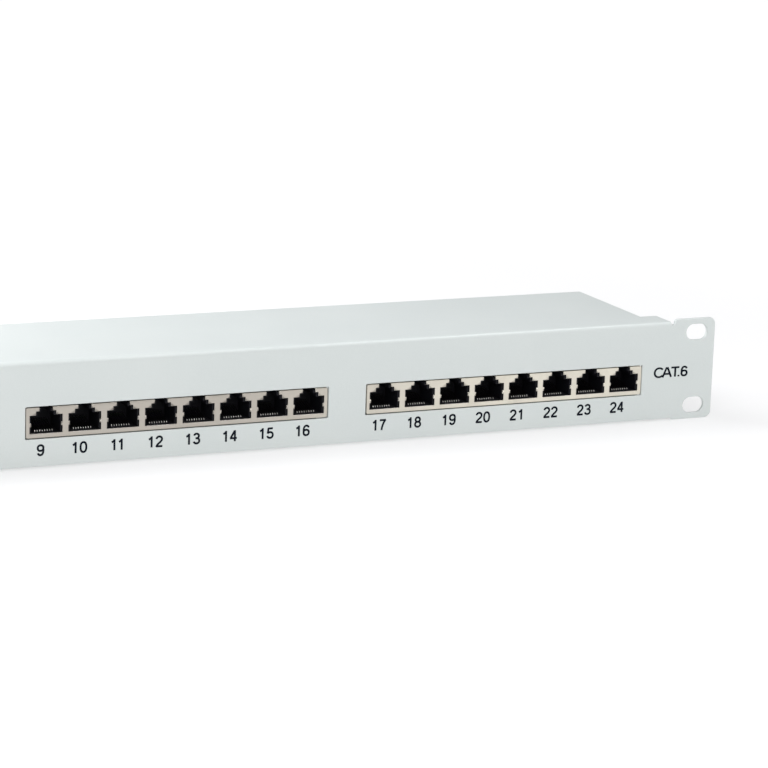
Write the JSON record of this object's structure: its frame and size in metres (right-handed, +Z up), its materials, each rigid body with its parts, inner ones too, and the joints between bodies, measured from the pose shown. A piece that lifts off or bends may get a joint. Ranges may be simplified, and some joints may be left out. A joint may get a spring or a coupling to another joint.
{
  "type": "patch panel",
  "caption": "Rack-wide shielded network patch panel, one unit high: a folded steel hood with banks of sockets in front and a sliding cable tray behind.",
  "frame": {"origin": "centre of the bounding box's bottom, level with the lower edges of the rack ears", "axes": "+X to the right as seen from the front, +Y back into the rack, +Z up; the sockets face -Y"},
  "size_m": [0.4826, 0.109, 0.0436],
  "materials": {
    "light_grey_powder_coat": "satin, finely textured powder coat",
    "nickel_plate": "satin nickel plating, warm tint",
    "black_plastic": "matte moulding",
    "board_green": "solder mask over laminate",
    "white_plastic": "satin moulding",
    "zinc_plate": "bright zinc plating",
    "brass": "machined"
  },
  "bodies": {
    "panel": {"board_screw_a_left": "zinc_plate", "board_screw_a_right": "zinc_plate", "board_screw_b_left": "zinc_plate", "board_screw_b_right": "zinc_plate", "board_screw_c_left": "zinc_plate", "board_screw_c_right": "zinc_plate", "circuit_board_a": "board_green", "circuit_board_b": "board_green", "circuit_board_c": "board_green", "front_hood": "light_grey_powder_coat", "jack_housing_a": "black_plastic", "jack_housing_b": "black_plastic", "jack_housing_c": "black_plastic", "jack_shield_a": "nickel_plate", "jack_shield_b": "nickel_plate", "jack_shield_c": "nickel_plate", "punch_block_01": "white_plastic", "punch_block_02": "white_plastic", "punch_block_03": "white_plastic", "punch_block_04": "white_plastic", "punch_block_05": "white_plastic", "punch_block_06": "white_plastic", "punch_block_07": "white_plastic", "punch_block_08": "white_plastic", "punch_block_09": "white_plastic", "punch_block_10": "white_plastic", "punch_block_11": "white_plastic", "punch_block_12": "white_plastic", "punch_block_13": "white_plastic", "punch_block_14": "white_plastic", "punch_block_15": "white_plastic", "punch_block_16": "white_plastic", "punch_block_17": "white_plastic", "punch_block_18": "white_plastic", "punch_block_19": "white_plastic", "punch_block_20": "white_plastic", "punch_block_21": "white_plastic", "punch_block_22": "white_plastic", "punch_block_23": "white_plastic", "punch_block_24": "white_plastic", "standoff_a_left": "brass", "standoff_a_right": "brass", "standoff_b_left": "brass", "standoff_b_right": "brass", "standoff_c_left": "brass", "standoff_c_right": "brass"},
    "tray": {"cable_tray": "light_grey_powder_coat", "earth_nut": "brass", "earth_stud": "zinc_plate", "earth_washer": "zinc_plate", "tray_screw_left_front": "zinc_plate", "tray_screw_left_rear": "zinc_plate", "tray_screw_right_front": "zinc_plate", "tray_screw_right_rear": "zinc_plate"}
  },
  "joints": [
    {"name": "cable_tray_slide", "type": "slide", "parent": "panel", "child": "tray", "axis": [0, 1, 0], "range_m": [0, 0.115]}
  ]
}
